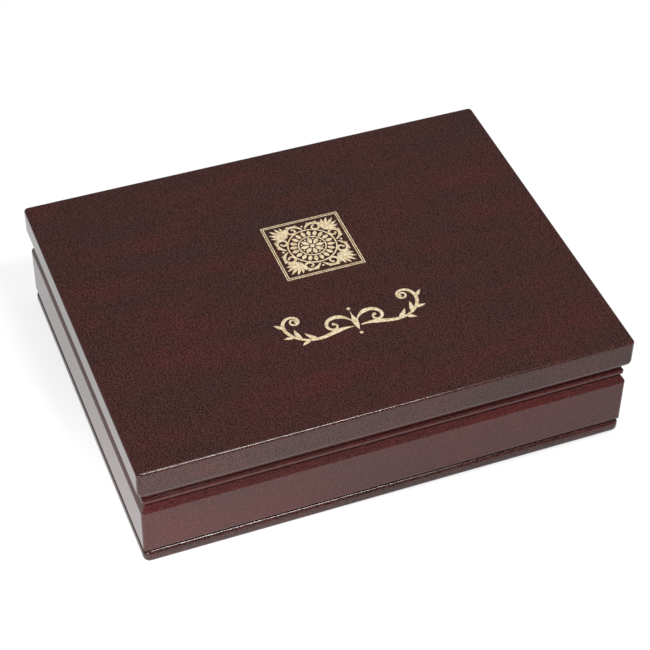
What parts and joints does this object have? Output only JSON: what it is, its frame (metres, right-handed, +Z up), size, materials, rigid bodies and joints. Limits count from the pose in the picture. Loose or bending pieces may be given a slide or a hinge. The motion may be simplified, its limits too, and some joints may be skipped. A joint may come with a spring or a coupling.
{
  "type": "keepsake box",
  "caption": "Rectangular lacquered wooden keepsake box with moulded rim, shoulder and foot, a thick lid hinged at the back and a velvet-lined inside.",
  "frame": {"origin": "middle of the underside, on the surface that the box stands on", "axes": "+X along the long side to the right, +Y to the hinged back, +Z up"},
  "size_m": [0.229, 0.18, 0.0585],
  "materials": {
    "rosewood_board": "satin lacquer over dark red-brown rosewood stain",
    "rosewood_moulding": "satin lacquer over dark red-brown rosewood stain",
    "velvet_lining": "wine-red velvet",
    "underside_felt": "black pressed felt",
    "hinge_brass": "brushed and lacquered",
    "screw_brass": "polished"
  },
  "bodies": {
    "base": {"bottom_board": "rosewood_board", "underside_felt": "underside_felt", "floor_lining_pad": "velvet_lining", "base_front_wall": "rosewood_moulding", "base_right_wall": "rosewood_moulding", "base_back_wall": "rosewood_moulding", "base_left_wall": "rosewood_moulding", "front_wall_lining": "velvet_lining", "right_wall_lining": "velvet_lining", "back_wall_lining": "velvet_lining", "left_wall_lining": "velvet_lining", "left_hinge_base_leaf": "hinge_brass", "left_hinge_pin": "screw_brass", "left_hinge_base_screws": "screw_brass", "right_hinge_base_leaf": "hinge_brass", "right_hinge_pin": "screw_brass", "right_hinge_base_screws": "screw_brass"},
    "lid": {"lid_top_panel": "rosewood_board", "lid_front_rail": "rosewood_moulding", "lid_right_rail": "rosewood_moulding", "lid_back_rail": "rosewood_moulding", "lid_left_rail": "rosewood_moulding", "lid_lining_pad": "velvet_lining", "left_hinge_lid_leaf": "hinge_brass", "left_hinge_lid_screws": "screw_brass", "right_hinge_lid_leaf": "hinge_brass", "right_hinge_lid_screws": "screw_brass"}
  },
  "joints": [
    {"name": "lid_hinge", "type": "hinge", "parent": "base", "child": "lid", "pos_m": [0, 0.08805, 0.0361], "axis": [-1, 0, 0], "range_deg": [0, 95]}
  ]
}
